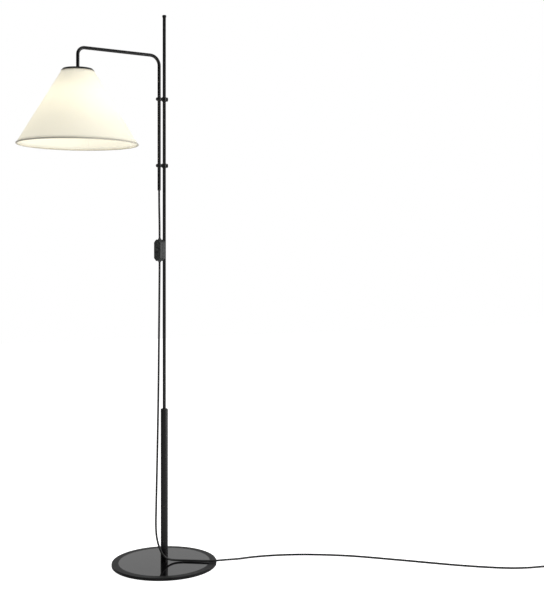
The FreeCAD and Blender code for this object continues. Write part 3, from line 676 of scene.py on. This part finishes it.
CLOTH_ROUND, CLOTH_ROWS = 240, 24
CLOTH_LIFT = 0.0007  # the cloth's lower edge is this far above the hem's centre
CLOTH_WANDER = 0.00018  # how far the cloth strays from the cone
SEAM_ANGLE = math.radians(66)  # the lap is at the rear
SEAM_WIDTH, SEAM_STEP = 0.008, 0.0006  # the lap's width, and how far it stands out
SEAM_RISE, SEAM_FALL = 0.001, 0.0006  # the widths of the lap's sloped edges
SEAM_OFFSETS = (4, 10, 25, 50, 62, 70, 90, 130, 180, 215, 240)  # thousandths of a radian
HEM_ROUND, HEM_SIDES = 480, 20
HEM_TIGHTNESS = 0.96  # the rolled cloth's radius, as a share of HEM_R, which leaves room for gathers
TAPE_EDGE = 0.0003  # the height over which the tape thins


def seam_step(angle, radius):
    """How far the cloth stands out where its end laps over its start."""
    across = (angle - SEAM_ANGLE) * radius
    end = SEAM_WIDTH + SEAM_RISE
    if across <= 0 or across >= end:
        return 0.0
    return SEAM_STEP * min(1.0, across / SEAM_RISE, (end - across) / SEAM_FALL)


def flat_place(angle, height):
    """A point of the cone in the flat sector that the cloth is cut as."""
    reach = (TOP_Z - height) * SLANT / FALL + TOP_R / SIN_HALF
    swing = angle * SIN_HALF
    return reach * math.cos(swing), reach * math.sin(swing)


def turned_mesh(name, outline, angles, shift=None):
    """A closed outline of (radius, height) points turned about the shade's axis, with its cloth
    coordinates in the layer flat_cut. shift(angle, radius, height) moves a point outwards."""
    vertices, faces, flats = [], [], []
    count, turns = len(outline), len(angles)
    for angle in angles:
        for radius, height in outline:
            r = radius + (shift(angle, radius, height) if shift else 0.0)
            vertices.append(AXIS + Vector((r * math.cos(angle), r * math.sin(angle), height)))
    for j in range(turns):
        n = (j + 1) % turns
        following = angles[n] if n else angles[0] + 2 * math.pi
        for i in range(count):
            k = (i + 1) % count
            faces.append((j * count + i, n * count + i, n * count + k, j * count + k))
            for angle, index in ((angles[j], i), (following, i), (following, k), (angles[j], k)):
                flats.append(flat_place(angle, outline[index][1]))
    mesh = mesh_of(name, vertices, faces)
    layer = mesh.uv_layers.new(name="flat_cut")
    for spot, flat in zip(layer.data, flats):
        spot.uv = flat
    return mesh


def cone_radius(height, offset=0.0):
    """The cone's radius at a height, at an offset square to the cloth."""
    return TOP_R + SPREAD * (TOP_Z - height) / FALL + offset * SLANT / FALL


def shade_piece(name, slot, node, outline, angles, shift=None):
    piece = add(name, turned_mesh(name, outline, angles, shift))
    piece.data.materials.append(FINISHES[slot])
    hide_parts(node)
    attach(piece, "head")
    return piece


def cloth_angles():
    """Even steps round the shade, with closer ones where the seam's edges are."""
    even = [SEAM_ANGLE + angle for angle in full_turn(CLOTH_ROUND)]
    edges = [SEAM_ANGLE + offset / 1000 for offset in SEAM_OFFSETS]
    return sorted(set(even + edges))


def cloth_wander(angle, radius, height):
    """The cloth's slight unevenness, in uneven waves round the shade, and the seam's lap."""
    share = (TOP_Z - height) / FALL
    belly = math.sin(math.pi * min(1.0, max(0.0, share)))
    waves = math.sin(7 * angle + 1.3) + 0.6 * math.sin(12 * angle + 4 * share)
    return CLOTH_WANDER * belly * waves + seam_step(angle, radius)


def hem_gathers(angle, radius, height):
    """Fine gathers, and longer ones, where the flat cloth goes round the wire."""
    return 0.00003 * math.sin(90 * angle) + 0.00006 * math.sin(23 * angle + 0.7)


def make_fabric():
    low = RIM_Z + CLOTH_LIFT
    heights = [low + (TOP_Z - low) * i / CLOTH_ROWS for i in range(CLOTH_ROWS + 1)]
    outside = [(cone_radius(z, FABRIC_T / 2), z) for z in heights]
    inside = [(cone_radius(z, -FABRIC_T / 2), z) for z in reversed(heights)]
    outline, angles = outside + inside, cloth_angles()
    return shade_piece("shade_cloth_cone", "shade_cloth", "shade_fabric", outline, angles, cloth_wander)


def make_hem():
    """The cloth's edge, rolled round the bottom wire."""
    size = HEM_R * HEM_TIGHTNESS
    roll = [(RIM_R + size * math.cos(a), RIM_Z + size * math.sin(a)) for a in full_turn(HEM_SIDES)]
    angles = full_turn(HEM_ROUND)
    return shade_piece("shade_rolled_hem", "shade_hem_cloth", "shade_hem", roll, angles, hem_gathers)


def make_trim():
    """The narrow tape glued round the cloth's top edge."""
    inner, outer = FABRIC_T / 2, FABRIC_T / 2 + TAPE_T
    edge = outer * 0.9  # the tape thins a little towards its edges
    outline = [
        (cone_radius(TAPE_LOW, inner), TAPE_LOW),
        (cone_radius(TAPE_LOW, edge), TAPE_LOW),
        (cone_radius(TAPE_LOW, outer), TAPE_LOW + TAPE_EDGE),
        (cone_radius(TAPE_HIGH - TAPE_EDGE, outer), TAPE_HIGH - TAPE_EDGE),
        (cone_radius(TAPE_HIGH, edge), TAPE_HIGH),
        (cone_radius(TAPE_HIGH, inner), TAPE_HIGH),
    ]
    angles = full_turn(CLOTH_ROUND)
    return shade_piece("shade_edge_tape", "shade_tape", "shade_top_trim", outline, angles)


def make_shade():
    fabric, hem, trim = make_fabric(), make_hem(), make_trim()


make_shade()
